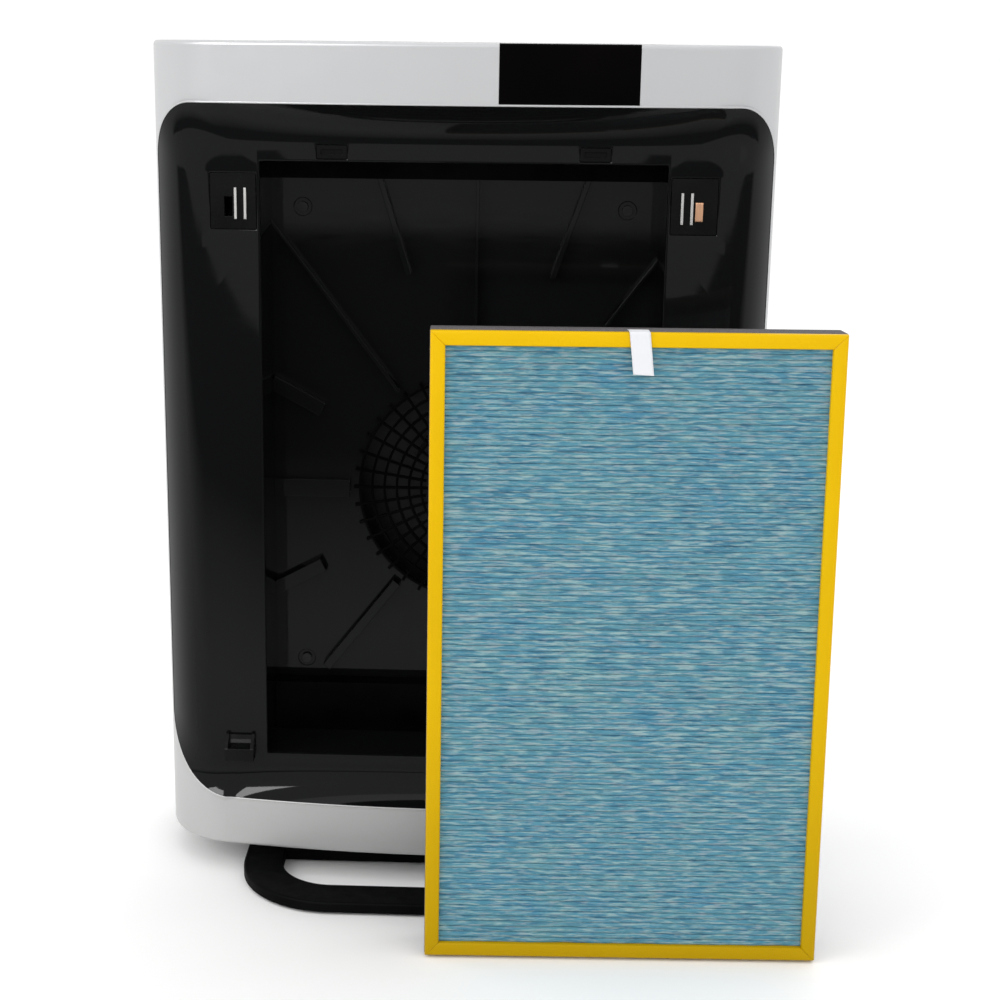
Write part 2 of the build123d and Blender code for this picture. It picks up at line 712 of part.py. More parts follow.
def stand_screws():
    screws = []
    for y in STAND_SCREW_Y:
        at = sum(RISER_X) / 2
        head = post(at, y, HEAD_R, PAD_HEIGHT + 1.5, PAD_HEIGHT + 4)
        screws += both(head + post(at, y, SCREW_R, PAD_HEIGHT + 4, BASE_Z + 11))
    return screws


def stand_pads():
    """Rubber pads that the stand rests on: one in the middle and one near each corner."""
    x, y = STAND_HALF_X - STAND_BAR / 2, 40
    places = [(0, 0), (x, y), (-x, y), (x, -y), (-x, -y)]
    return [post(px, py, 9, 0, PAD_HEIGHT) for px, py in places]


# ---------------------------------------------------------------- filter panel

def stand_up(solid):
    """Put a piece of the filter panel where the panel stands, on its lower back edge."""
    lift = (FILTER_FRAME_T + GASKET_T) * math.sin(math.radians(FILTER_LEAN))
    return Pos(*FILTER_POS, lift) * Rot(0, 0, FILTER_TURN) * Rot(-FILTER_LEAN, 0, 0) * solid


def rails():
    """The frame's four rails, mitred at the corners."""
    x, z = FILTER_W / 2, FILTER_H
    xi, z0, z1 = x - RAIL, RAIL, z - RAIL
    corners = {
        "top": [(-x, z), (x, z), (xi, z1), (-xi, z1)],
        "bottom": [(-x, 0), (x, 0), (xi, z0), (-xi, z0)],
        "left": [(-x, 0), (-xi, z0), (-xi, z1), (-x, z)],
        "right": [(x, 0), (xi, z0), (xi, z1), (x, z)],
    }
    made = {}
    for name, points in corners.items():
        face = make_face(Polyline(*points, close=True))
        made["filter_rail_" + name] = stand_up(deep(face, 0, FILTER_FRAME_T))
    return made


def filter_media():
    x = FILTER_W / 2 - RAIL
    return stand_up(block(-x, x, MEDIA_RECESS, FILTER_FRAME_T - 1, RAIL, FILTER_H - RAIL))


def filter_back_mesh():
    x = FILTER_W / 2 - RAIL
    return stand_up(block(-x, x, FILTER_FRAME_T - 1, FILTER_FRAME_T, RAIL, FILTER_H - RAIL))


def filter_gasket():
    """Foam seal round the back of the frame."""
    y0, y1 = FILTER_FRAME_T, FILTER_FRAME_T + GASKET_T
    whole = Pos(0, FILTER_H / 2) * Rectangle(FILTER_W, FILTER_H)
    hole = Pos(0, FILTER_H / 2) * Rectangle(FILTER_W - 2 * RAIL, FILTER_H - 2 * RAIL)
    return stand_up(deep(whole - hole, y0, y1))


def pull_tab():
    """Fabric tab that lies over the top rail and hangs down the front."""
    x0, x1 = TAB_X - TAB_WIDTH / 2, TAB_X + TAB_WIDTH / 2
    hanging = block(x0, x1, -1.0, 0, FILTER_H - TAB_DROP, FILTER_H + 1.0)
    return stand_up(hanging + block(x0, x1, -1.0, 16.0, FILTER_H, FILTER_H + 1.0))


# ---------------------------------------------------------------- assembly

def build():
    shell = housing_shell()
    nodes = {
        "front_housing": front_housing(shell),
        "rear_housing": rear_housing(shell),
        "control_window": control_window(shell),
        "control_board": control_board(),
        "control_bracket": control_bracket(),
        "fascia": fascia(),
        "cover_catch_left": catch_body(-1),
        "cover_catch_right": catch_body(1),
        "catch_poles": catch_poles(),
        "catch_magnets": catch_magnets(),
        "interlock_plunger": interlock_plunger(),
        "interlock_switch": interlock_switch(),
        "cover_lug_left": mirrored(cover_lug()),
        "cover_lug_right": cover_lug(),
        "filter_clip_left": mirrored(filter_clip()),
        "filter_clip_right": filter_clip(),
        "filter_chamber": filter_chamber(),
        "chamber_back": chamber_back(),
        "chamber_ribs": chamber_ribs(),
        "filter_seats": filter_seats(),
        "chamber_screws": chamber_screws(),
        "inlet_grille": inlet_grille(),
        "scroll_cover": scroll_cover(),
        "fan_scroll": fan_scroll(),
        "impeller": impeller(),
        "impeller_nut": impeller_nut(),
        "motor_shaft": motor_shaft(),
        "motor_rotor": motor_rotor(),
        "motor_stator": motor_stator(),
        "motor_housing": motor_housing(),
        "motor_bearing_front": bearing(62),
        "motor_bearing_rear": bearing(SCROLL_BACK_Y - 5),
        "motor_mount": motor_mount(),
        "motor_bushings": motor_bushings(),
        "motor_screws": motor_screws(),
        "outlet_grille": outlet_grille(),
        "handle_cup": handle_cup(),
        "mains_inlet": mains_inlet(),
        "inlet_pins": inlet_pins(),
        "power_tray": power_tray(),
        "power_board": power_board(),
        "air_sensor": air_sensor(),
        "wiring_harness": wiring_harness(),
        "housing_screws": housing_screws(),
        "stand_ring": stand_ring(),
        "stand_crossbar": stand_crossbar(),
        "stand_risers": stand_risers(),
        "stand_screws": stand_screws(),
        "stand_pads": stand_pads(),
        "filter_media": filter_media(),
        "filter_back_mesh": filter_back_mesh(),
        "filter_gasket": filter_gasket(),
        "pull_tab": pull_tab(),
    }
    nodes.update(rails())
    return nodes


def as_one(shape):
    """A group of separate solids becomes one compound; a single solid stays as it is."""
    return Compound(children=list(shape)) if isinstance(shape, list) else shape


os.makedirs("parts", exist_ok=True)
for name, shape in build().items():
    export_step(as_one(shape), f"parts/{name}.step")
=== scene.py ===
import math

import bmesh
import bpy
from mathutils import Matrix, Vector, noise
from mathutils.geometry import delaunay_2d_cdt


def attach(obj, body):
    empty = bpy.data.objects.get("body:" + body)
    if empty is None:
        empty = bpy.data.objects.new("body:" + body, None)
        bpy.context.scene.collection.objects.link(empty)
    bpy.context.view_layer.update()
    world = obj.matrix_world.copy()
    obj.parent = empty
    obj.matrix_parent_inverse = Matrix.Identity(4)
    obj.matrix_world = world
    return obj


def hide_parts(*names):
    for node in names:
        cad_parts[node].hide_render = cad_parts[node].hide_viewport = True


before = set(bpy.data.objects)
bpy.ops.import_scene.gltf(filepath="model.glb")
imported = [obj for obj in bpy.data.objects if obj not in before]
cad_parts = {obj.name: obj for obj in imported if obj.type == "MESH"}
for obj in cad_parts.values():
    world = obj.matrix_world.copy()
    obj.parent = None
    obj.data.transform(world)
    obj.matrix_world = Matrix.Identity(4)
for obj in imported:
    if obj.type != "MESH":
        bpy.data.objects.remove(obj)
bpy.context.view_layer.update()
MM = 0.001

# ---- sizes and places in millimetres, within a few millimetres of the CAD's ----
FRONT_Y = -60.0
FRONT_R = 1131.0
FRONT_CORNER = (171.0, 12.4, 60.0)
RIM_HALF = 226.5
RIM_Z = (62.2, 597.0)
TOP_CORNER = (30.0, 40.0)
BOTTOM_CORNER = (51.0, 62.0)
FLOOR_Y = -38.0
FLOOR_HALF = 191.0
FLOOR_Z = (86.5, 568.0)
FLOOR_CORNER = 24.0
CHAMBER_HALF = 147.7
CHAMBER_Z = (96.5, 555.7)
CATCH_X = (150.3, 184.0)
CATCH_Z = (506.5, 547.0)
CLIP_X = (83.8, 106.2)
CLIP_Z = (557.7, 567.7)
FILTER_W = 281.0
FILTER_H = 452.0
FILTER_T = 30.0
GASKET_T = 6.0
RAIL = 10.2
FILTER_POS = (123.3, -176.3)
FILTER_TURN = 1.5
FILTER_LEAN = 3.0
PLEATS = 107
GLUE_PITCH = 25.4
THREAD_R = 0.15
PLEAT_Y = 3.6
PLEAT_DEPTH = 1.7
SOFT_EDGE = 1.4
LUG_X = (157.2, 179.8)
LUG_CHEEK = 2.6


# ---------------------------------------------------------------- materials

class Shader:
    """One material: a Principled surface and the nodes that drive it."""

    def __init__(self, name):
        self.material = bpy.data.materials.new(name)
        self.material.use_nodes = True
        self.tree = self.material.node_tree
        self.surface = self.tree.nodes["Principled BSDF"]
        self.place = self.tree.nodes.new("ShaderNodeTexCoord").outputs["Object"]

    def set(self, **values):
        for name, value in values.items():
            self.surface.inputs[name.replace("_", " ")].default_value = value

    def link(self, output, name):
        self.tree.links.new(output, self.surface.inputs[name])

    def node(self, kind, settings=(), **inputs):
        made = self.tree.nodes.new("ShaderNode" + kind)
        for name, value in dict(settings).items():
            setattr(made, name, value)
        for name, value in inputs.items():
            socket = made.inputs[int(name[1:])] if name[1:].isdigit() else made.inputs[name]
            if isinstance(value, bpy.types.NodeSocket):
                self.tree.links.new(value, socket)
            else:
                socket.default_value = value
        return made

    def stretched(self, x=1.0, y=1.0, z=1.0, turn=(0, 0, 0)):
        """The place on the object, scaled apart along each axis."""
        return self.node("Mapping", Vector=self.place, Scale=(x, y, z), Rotation=turn).outputs[0]

    def noise(self, scale, detail=2.0, rough=0.5, at=None, offset=0.0):
        at = at or self.place
        if offset:
            at = self.node("VectorMath", {"operation": "ADD"}, _0=at, _1=(offset,) * 3).outputs[0]
        made = self.node("TexNoise", Vector=at, Scale=scale, Detail=detail, Roughness=rough)
        return made.outputs["Fac"]

    def ramp(self, value, *stops):
        """A number or colour that runs through stops, each (position, value)."""
        made = self.node("ValToRGB", Fac=value)
        points = made.color_ramp.elements
        while len(points) < len(stops):
            points.new(0.5)
        for point, (position, colour) in zip(points, stops):
            point.position = position
            point.color = (*([colour] * 3 if isinstance(colour, (int, float)) else colour), 1.0)
        return made.outputs["Color"]

    def mix(self, share, a, b, blend="MIX"):
        made = self.node("Mix", {"data_type": "RGBA", "blend_type": blend})
        for socket, value in ((made.inputs[0], share), (made.inputs[6], a), (made.inputs[7], b)):
            if isinstance(value, bpy.types.NodeSocket):
                self.tree.links.new(value, socket)
            else:
                socket.default_value = value if isinstance(value, float) else (*value[:3], 1.0)
        return made.outputs[2]

    def maths(self, kind, a, b=0.5, c=0.5):
        return self.node("Math", {"operation": kind}, _0=a, _1=b, _2=c).outputs[0]

    def bump(self, height, strength, depth, under=None):
        made = self.node("Bump", Height=height, Strength=strength, Distance=depth)
        if under is not None:
            self.tree.links.new(under, made.inputs["Normal"])
        return made.outputs[0]

    def rounded(self, radius):
        """Normals as if the edges were rounded."""
        return self.node("Bevel", {"samples": 6}, Radius=radius).outputs[0]


def silver():
    """Satin silver paint over moulded plastic: fine flake, faint orange peel, and painted shade that
    darkens it towards the bottom.
    """
    s = Shader("silver_paint")
    flake = s.noise(9000.0, 1.0)
    cloud = s.noise(6.0, 2.0)
    height = s.node("SeparateXYZ", _0=s.place).outputs[2]
    base = s.mix(s.ramp(flake, (0.3, 0.0), (0.75, 1.0)), (0.485, 0.490, 0.498), (0.545, 0.550, 0.560))
    base = s.mix(s.ramp(cloud, (0.35, 0.0), (0.7, 0.25)), base, (0.54, 0.537, 0.54))
    # Painted shade: the paint darkens towards the bottom.
    base = s.mix(s.ramp(height, (0.05, 0.45), (0.45, 0.0)), base, (0.42, 0.42, 0.405))
    s.link(base, "Base Color")
    s.link(s.ramp(s.noise(40.0, 3.0), (0.3, 0.30), (0.7, 0.37)), "Roughness")
    s.set(Metallic=0.2, Specular_IOR_Level=0.06, Coat_Weight=0.03, Coat_Roughness=0.15)
    s.link(s.bump(s.noise(700.0, 2.0), 0.06, 0.0002, s.rounded(0.0006)), "Normal")
    return s.material


def gloss_black():
    """High-gloss black moulding: a little haze, dust specks and hairline wipe marks."""
    s = Shader("piano_black")
    dust = s.ramp(s.noise(420.0, 2.0), (0.72, 0.0), (0.80, 1.0))
    specks = s.ramp(s.noise(1400.0, 1.0), (0.78, 0.0), (0.84, 0.35))
    s.link(s.mix(specks, (0.0045, 0.0047, 0.0050), (0.05, 0.05, 0.05)), "Base Color")
    wipe = s.noise(30.0, 4.0, 0.6, s.stretched(1.0, 1.0, 9.0, (0, 0.5, 0)))
    haze = s.ramp(wipe, (0.35, 0.035), (0.75, 0.085))
    s.link(s.mix(dust, haze, (0.16, 0.16, 0.16)), "Roughness")
    s.set(Specular_IOR_Level=0.13)
    s.link(s.bump(s.noise(22.0, 1.0), 0.05, 0.0006, s.rounded(0.0007)), "Normal")
    return s.material


def control_glass():
    """Smoked cover of the controls, flat and very smooth."""
    s = Shader("smoked_cover")
    deep, smoke = (0.0010, 0.0008, 0.0009), (0.0018, 0.0013, 0.0013)
    s.link(s.ramp(s.noise(15.0, 2.0), (0.3, deep), (0.7, smoke)), "Base Color")
    s.link(s.ramp(s.noise(60.0, 3.0), (0.4, 0.02), (0.8, 0.05)), "Roughness")
    s.set(Specular_IOR_Level=0.015)
    s.link(s.rounded(0.0005), "Normal")
    return s.material


def moulded(name, colour, rough=0.45, grain=900.0, depth=0.00012, level=0.4):
    """Moulded plastic with a fine spark-eroded grain and softened edges."""
    s = Shader(name)
    cloud = s.noise(25.0, 3.0)
    light = [min(1.0, c * 1.35 + 0.002) for c in colour]
    s.link(s.ramp(cloud, (0.35, colour), (0.75, light)), "Base Color")
    s.link(s.ramp(s.noise(120.0, 3.0), (0.3, rough - 0.05), (0.7, rough + 0.08)), "Roughness")
    s.set(Specular_IOR_Level=level)
    s.link(s.bump(s.noise(grain, 2.0), 0.25, depth, s.rounded(0.0005)), "Normal")
    return s.material


def metal(name, colour, rough=0.28, brush=(1.0, 1.0, 1.0)):
    """Bare or plated metal with fine brushing along one axis."""
    s = Shader(name)
    lines = s.noise(500.0, 3.0, 0.6, s.stretched(*brush))
    dull = [c * 0.8 for c in colour]
    s.link(s.ramp(lines, (0.3, dull), (0.7, colour)), "Base Color")
    s.link(s.ramp(lines, (0.3, rough), (0.7, rough + 0.12)), "Roughness")
    s.set(Metallic=1.0)
    s.link(s.bump(lines, 0.1, 0.0001, s.rounded(0.0003)), "Normal")
    return s.material


def yellow_plastic():
    """The filter's yellow frame: smooth extruded plastic, faintly scuffed in small patches."""
    s = Shader("yellow_plastic")
    cloud = s.noise(10.0, 3.0)
    base = s.ramp(cloud, (0.3, (0.75, 0.455, 0.0005)), (0.7, (0.81, 0.495, 0.0005)))
    scuff = s.ramp(s.noise(260.0, 4.0, 0.7), (0.66, 0.0), (0.78, 0.35))
    base = s.mix(scuff, base, (0.72, 0.46, 0.01))
    # Painted shade: the frame darkens towards its bottom, near the floor.
    height = s.node("SeparateXYZ", _0=s.place).outputs[2]
    shade = s.ramp(height, (0.005, 0.85), (0.20, 0.25), (0.45, 0.05))
    s.link(s.mix(shade, base, (0.40, 0.25, 0.0)), "Base Color")
    s.link(s.ramp(s.noise(90.0, 4.0), (0.3, 0.30), (0.7, 0.42)), "Roughness")
    s.set(Specular_IOR_Level=0.08)
    s.link(s.bump(s.noise(350.0, 3.0), 0.08, 0.0002), "Normal")
    return s.material


def media_paper():
    """Pleated fibre paper: blue ground with pale and dark fibres that lie along the pleats."""
    s = Shader("pleated_paper")
    fibre = s.noise(1.0, 5.0, 0.65, s.stretched(130.0, 300.0, 1000.0))
    patch = s.noise(1.0, 3.0, 0.6, s.stretched(26.0, 26.0, 75.0), 3.7)
    streak = s.noise(1.0, 3.0, 0.6, s.stretched(72.0, 60.0, 640.0), 9.1)
    dark = s.noise(1.0, 3.0, 0.6, s.stretched(52.0, 50.0, 480.0), 21.3)
    blue, mid, teal = (0.055, 0.220, 0.345), (0.085, 0.255, 0.335), (0.130, 0.290, 0.325)
    ground = s.ramp(patch, (0.32, blue), (0.50, mid), (0.68, teal))
    ground = s.mix(s.ramp(fibre, (0.38, 0.0), (0.66, 0.75)), ground, (0.155, 0.350, 0.430))
    ground = s.mix(s.ramp(dark, (0.50, 0.0), (0.66, 0.8)), ground, (0.045, 0.160, 0.250))
    ground = s.mix(s.ramp(streak, (0.50, 0.0), (0.66, 0.8)), ground, (0.44, 0.53, 0.50))
    grey = s.noise(1.0, 2.0, 0.5, s.stretched(95.0, 60.0, 780.0), 33.3)
    ground = s.mix(s.ramp(grey, (0.53, 0.0), (0.68, 0.6)), ground, (0.43, 0.43, 0.45))
    ground = s.mix(1.0, ground, (0.70, 0.84, 0.88), "MULTIPLY")
    s.link(ground, "Base Color")
    s.set(Roughness=0.9, Specular_IOR_Level=0.15, Sheen_Weight=0.15, Sheen_Roughness=0.6)
    s.link(s.bump(fibre, 0.5, 0.0003), "Normal")
    return s.material


def fabric(name, colour, pitch=0.0006):
    """Tight plain weave."""
    s = Shader(name)
    turn = 2 * math.pi / pitch
    split = s.node("SeparateXYZ", _0=s.place)
    across = s.maths("SINE", s.maths("MULTIPLY", split.outputs[0], turn))
    along = s.maths("SINE", s.maths("MULTIPLY", split.outputs[2], turn))
    weave = s.maths("MULTIPLY_ADD", s.maths("MULTIPLY", across, along), 0.5, 0.5)
    shade = [c * 0.86 for c in colour]
    s.link(s.ramp(weave, (0.1, shade), (0.9, colour)), "Base Color")
    s.set(Roughness=0.75, Sheen_Weight=0.3, Specular_IOR_Level=0.3)
    s.link(s.bump(weave, 0.4, 0.0001), "Normal")
    return s.material


def foam():
    """Open-cell foam strip."""
    s = Shader("foam_strip")
    cells = s.node("TexVoronoi", Vector=s.place, Scale=1100.0).outputs["Distance"]
    s.link(s.ramp(cells, (0.1, (0.045, 0.042, 0.044)), (0.6, (0.16, 0.15, 0.155))), "Base Color")
    s.set(Roughness=0.95, Specular_IOR_Level=0.1)
    s.link(s.bump(cells, 0.7, 0.0004), "Normal")
    return s.material


def net():
    """White scrim on the filter's back: a fine square net over pale paper."""
    s = Shader("white_scrim")
    split = s.node("SeparateXYZ", _0=s.place)
    threads = []
    for axis in (0, 2):
        wave = s.maths("SINE", s.maths("MULTIPLY", split.outputs[axis], 2 * math.pi / 0.003))
        threads.append(s.maths("POWER", s.maths("ABSOLUTE", wave), 6.0))
    mesh = s.maths("MAXIMUM", threads[0], threads[1])
    s.link(s.ramp(mesh, (0.2, (0.35, 0.42, 0.46)), (0.7, (0.80, 0.80, 0.79))), "Base Color")
    s.set(Roughness=0.8, Specular_IOR_Level=0.2)
    s.link(s.bump(mesh, 0.8, 0.0003), "Normal")
    return s.material


def circuit():
    """Green solder mask with the copper's outline showing through."""
    s = Shader("circuit_green")
    tracks = s.node("TexBrick", Vector=s.stretched(160.0, 160.0, 160.0)).outputs["Fac"]
    s.link(s.mix(tracks, (0.010, 0.10, 0.035), (0.03, 0.19, 0.07)), "Base Color")
    s.set(Roughness=0.3)
    s.link(s.bump(tracks, 0.3, 0.0001), "Normal")
    return s.material


def finishes():
    """Every material slot of the record, and its material."""
    return {
        "shell_silver": silver(),
        "gloss_black": gloss_black(),
        "control_glass": control_glass(),
        "circuit_board": circuit(),
        "black_plastic": moulded("black_moulding", (0.0024, 0.0025, 0.0027), 0.24, 700.0, 0.00006, 0.09),
        "grey_plastic": moulded("grey_moulding", (0.16, 0.16, 0.17)),
        "stand_black": moulded("stand_moulding", (0.0010, 0.0011, 0.0012), 0.55, 1100.0, 0.00015, 0.03),
        # Painted shade: a darker, duller copy of the black moulding, for parts deep in the chamber.
        "seat_black": moulded("seat_moulding_painted_shade", (0.0005, 0.0005, 0.0006), 0.35, 700.0, 0.00006, 0.02),
        "wheel_plastic": moulded("wheel_moulding", (0.006, 0.006, 0.0065), 0.4, 900.0, 0.00012, 0.3),
        "bush_rubber": moulded("rubber", (0.015, 0.015, 0.015), 0.8, 500.0, 0.0002, 0.2),
        "loom": moulded("cable_sheath", (0.03, 0.03, 0.035), 0.5),
        "pole_steel": metal("pole_steel", (0.80, 0.79, 0.77), 0.22, (1.0, 1.0, 0.05)),
        "magnet_steel": metal("magnet", (0.06, 0.06, 0.065), 0.5),
        "copper_key": metal("copper", (0.78, 0.45, 0.28), 0.35, (1.0, 1.0, 0.1)),
        "screw_steel": metal("screw_steel", (0.55, 0.55, 0.56), 0.3),
        "shaft_steel": metal("shaft_steel", (0.6, 0.6, 0.6), 0.25),
        "motor_iron": metal("motor_iron", (0.25, 0.24, 0.23), 0.5),
        "motor_can": metal("motor_can", (0.55, 0.56, 0.57), 0.4),
        "pin_brass": metal("brass", (0.75, 0.58, 0.28), 0.25),
        "frame_yellow": yellow_plastic(),
        "media_blue": media_paper(),
        "mesh_white": net(),
        "seal_foam": foam(),
        "tab_fabric": fabric("ribbon", (0.82, 0.83, 0.86)),
    }


# ---------------------------------------------------------------- making pieces

def piece(name, points, faces, slot, body, smooth=True):
    """A mesh piece from points in millimetres, in the row frame."""
    mesh = bpy.data.meshes.new(name)
    mesh.from_pydata([Vector(p) * MM for p in points], [], faces)
    work = bmesh.new()
    work.from_mesh(mesh)
    bmesh.ops.remove_doubles(work, verts=work.verts, dist=1e-6)
    bmesh.ops.recalc_face_normals(work, faces=work.faces)
    work.to_mesh(mesh)
    work.free()
    if smooth:
        mesh.shade_smooth()
    else:
        mesh.shade_flat()
    made = bpy.data.objects.new(name, mesh)
    bpy.context.scene.collection.objects.link(made)
    made.data.materials.append(FINISH[slot])
    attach(made, body)
    return made


def grid_faces(rows, columns, closed=False):
    """Quads over rows of points that follow each other."""
    faces = []
    for r in range(rows - 1):
        for c in range(columns if closed else columns - 1):
            d = (c + 1) % columns
            faces.append((r * columns + c, r * columns + d, (r + 1) * columns + d, (r + 1) * columns + c))
    return faces


# ---------------------------------------------------------------- black front

def corner(cx, cz, rx, rz, start, steps):
    """Points round one quarter ellipse, from start degrees on."""
    turns = [math.radians(start + 90.0 * k / steps) for k in range(steps + 1)]
    return [(cx + rx * math.cos(t), cz + rz * math.sin(t)) for t in turns]


def rounded_outline(half, z0, z1, bottom, top, straight=(40, 50), steps=18):
    """Round a rectangle with elliptical corners: the same number of points whatever its size."""
    (bx, bz), (tx, tz) = bottom, top
    arcs = [
        corner(half - bx, z0 + bz, bx, bz, -90.0, steps),
        corner(half - tx, z1 - tz, tx, tz, 0.0, steps),
        corner(-half + tx, z1 - tz, tx, tz, 90.0, steps),
        corner(-half + bx, z0 + bz, bx, bz, 180.0, steps),
    ]
    points = []
    for k, arc in enumerate(arcs):
        following = arcs[(k + 1) % 4][0]
        count = straight[1] if k % 2 == 0 else straight[0]
        points += arc
        for i in range(1, count):
            t = i / count
            points.append(tuple(a + (b - a) * t for a, b in zip(arc[-1], following)))
    return points


def housing_y(x):
    """Where the housing's front surface is."""
    cx, cy, r = FRONT_CORNER
    if abs(x) <= cx + r * cx / (FRONT_R + r):
        return FRONT_Y + FRONT_R - math.sqrt(FRONT_R ** 2 - x * x)
    return cy - math.sqrt(max(0.0, r * r - (abs(x) - cx) ** 2))


def rectangle(x0, x1, z0, z1, inset=0.0, radius=1.2):
    """A small rounded rectangle, anticlockwise."""
    x0, x1, z0, z1, r = x0 + inset, x1 - inset, z0 + inset, z1 - inset, max(0.2, radius)
    corners = [(x1 - r, z0 + r), (x1 - r, z1 - r), (x0 + r, z1 - r), (x0 + r, z0 + r)]
    points = []
    for k, (cx, cz) in enumerate(corners):
        points += corner(cx, cz, r, r, 90 * k - 90, 3)
    return points


def openings():
    """Holes in the flat of the black front."""
    holes = [(-CHAMBER_HALF, CHAMBER_HALF, *CHAMBER_Z)]
    for (x0, x1), (z0, z1) in ((CATCH_X, CATCH_Z), (CLIP_X, CLIP_Z)):
        holes += [(x0, x1, z0, z1), (-x1, -x0, z0, z1)]
    return holes


def border_points(outer, inner, rings):
    """Rings of points from the rim back to the flat, along the rolled border."""
    points = []
    for k in range(rings + 1):
        t = k / rings
        fall = 1.0 - (1.0 - t) ** 2.15
        for (ox, oz), (ix, iz) in zip(outer, inner):
            rim = housing_y(ox) + 0.3
            points.append((ox + (ix - ox) * t, rim + (FLOOR_Y - rim) * fall, oz + (iz - oz) * t))
    return points


def in_an_opening(x, z):
    """Whether a point of the flat falls in an opening or on its soft edge."""
    soft = SOFT_EDGE
    return any(x0 - soft < x < x1 + soft and z0 - soft < z < z1 + soft for x0, x1, z0, z1 in openings())


def flat_with_holes(outline):
    """The flat, cut into triangles round its openings."""
    flat, edges = [], []
    for loop in [outline] + [rectangle(*hole, inset=-SOFT_EDGE) for hole in openings()]:
        first, count = len(flat), len(loop)
        flat += [Vector(p) for p in loop]
        edges += [(first + i, first + (i + 1) % count) for i in range(count)]
    verts, _, tris, *_ = delaunay_2d_cdt(flat, edges, [], 0, 1e-5)
    faces = []
    for tri in tris:
        x, z = (sum(verts[i][axis] for i in tri) / 3 for axis in (0, 1))
        inside = abs(x) < FLOOR_HALF and FLOOR_Z[0] < z < FLOOR_Z[1]
        if inside and not in_an_opening(x, z):
            faces.append(tuple(tri))
    return [(v.x, FLOOR_Y, v.y) for v in verts], faces


def soft_edge(hole):
    """The rounded edge of one opening, and a short wall behind it."""
    steps, wall = 5, 1.6
    points = []
    for k in range(steps + 2):
        turn = min(k / steps, 1.0) * math.pi / 2
        depth = SOFT_EDGE * (1.0 - math.cos(turn)) + (wall if k > steps else 0.0)
        ring = rectangle(*hole, inset=-SOFT_EDGE * (1.0 - math.sin(turn)))
        points += [(x, FLOOR_Y + depth, z) for x, z in ring]
    return points, grid_faces(steps + 2, len(ring), closed=True)


def black_front():
    """Dished gloss moulding: a flat with rolled borders, and a softened edge round each opening."""
    rings = 22
    outer = rounded_outline(RIM_HALF, *RIM_Z, BOTTOM_CORNER, TOP_CORNER)
    inner = rounded_outline(FLOOR_HALF, *FLOOR_Z, (FLOOR_CORNER,) * 2, (FLOOR_CORNER,) * 2)
    points = border_points(outer, inner, rings)
    faces = grid_faces(rings + 1, len(outer), closed=True)
    for more, more_faces in [flat_with_holes(inner)] + [soft_edge(hole) for hole in openings()]:
        faces += [tuple(len(points) + i for i in face) for face in more_faces]
        points += more
    made = piece("black_front", points, faces, "gloss_black", "purifier")
    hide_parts("fascia")


def opening_lip():
    """Rolled edge of the silver shell round the black front."""
    path = rounded_outline(RIM_HALF + 0.5, RIM_Z[0] - 0.5, RIM_Z[1] + 0.5, BOTTOM_CORNER, TOP_CORNER)
    count, around = len(path), 8
    points = []
    for i, (x, z) in enumerate(path):
        (px, pz), (nx, nz) = path[i - 1], path[(i + 1) % count]
        along = Vector((nx - px, nz - pz)).normalized()
        out = Vector((along.y, -along.x))
        for k in range(around):
            turn = 2 * math.pi * k / around
            aside, ahead = 0.75 * math.cos(turn), 0.55 * math.sin(turn)
            points.append((x + out.x * aside, housing_y(x + out.x * aside) + ahead, z + out.y * aside))
    faces = grid_faces(count, around, closed=True)
    last = (count - 1) * around
    faces += [(last + k, last + (k + 1) % around, (k + 1) % around, k) for k in range(around)]
    piece("opening_lip", points, faces, "shell_silver", "purifier")


def cover_lug(name, side):
    """Hook for the cover's foot: a block with a scooped top between two cheeks."""
    x0, x1 = LUG_X
    in0, in1 = x0 + LUG_CHEEK, x1 - LUG_CHEEK
    stations = [(x0, 0.0), (in0, 0.0), (in0, 1.0), (in1, 1.0), (in1, 0.0), (x1, 0.0)]
    # Depth in front of the flat, height of the cheek, height of the scoop.
    profile = [
        (0.0, 95.0, 95.0),
        (14.0, 95.0, 95.0),
        (14.0, 104.6, 104.6),
        (13.5, 105.3, 105.0),
        (9.0, 109.8, 105.6),
        (5.5, 112.6, 107.0),
        (3.8, 113.8, 109.5),
        (2.5, 114.0, 112.6),
        (0.0, 114.0, 113.0),
    ]
    points = []
    for x, share in stations:
        points += [(side * x, FLOOR_Y - out, high + (low - high) * share) for out, high, low in profile]
    size, last = len(profile), (len(stations) - 1) * len(profile)
    faces = grid_faces(len(stations), size, closed=True)
    faces += [tuple(range(size)), tuple(range(last, last + size))]
    made = piece(name.replace("cover_", ""), points, faces, "black_plastic", "purifier", smooth=False)
    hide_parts(name)


# ---------------------------------------------------------------- filter panel

def panel_matrix():
    """From the panel's own frame to the row frame, in millimetres."""
    lift = (FILTER_T + GASKET_T) * math.sin(math.radians(FILTER_LEAN))
    place = Matrix.Translation((*FILTER_POS, lift))
    turn = Matrix.Rotation(math.radians(FILTER_TURN), 4, "Z")
    return place @ turn @ Matrix.Rotation(math.radians(-FILTER_LEAN), 4, "X")


def on_panel(points):
    """Points of the panel's own frame, moved to where the panel stands."""
    matrix = panel_matrix()
    return [matrix @ Vector(p) for p in points]


def rail_profile():
    """The rail cut across: (inward from the panel's edge, depth)."""
    outer, inner, crown = 2.4, 1.5, 0.25
    points = [(0.0, FILTER_T), (0.0, 12.0)]
    for k in range(7):
        turn = math.pi / 2 * k / 6
        points.append((outer * (1 - math.cos(turn)), crown + outer * (1 - math.sin(turn))))
    points += [(3.8, 0.06), (5.4, 0.0), (7.4, 0.06)]
    for k in range(6):
        turn = math.pi / 2 * k / 5
        points.append((RAIL - inner * (1 - math.sin(turn)), crown + inner * (1 - math.cos(turn))))
    return points + [(RAIL, 10.0), (RAIL, FILTER_T)]


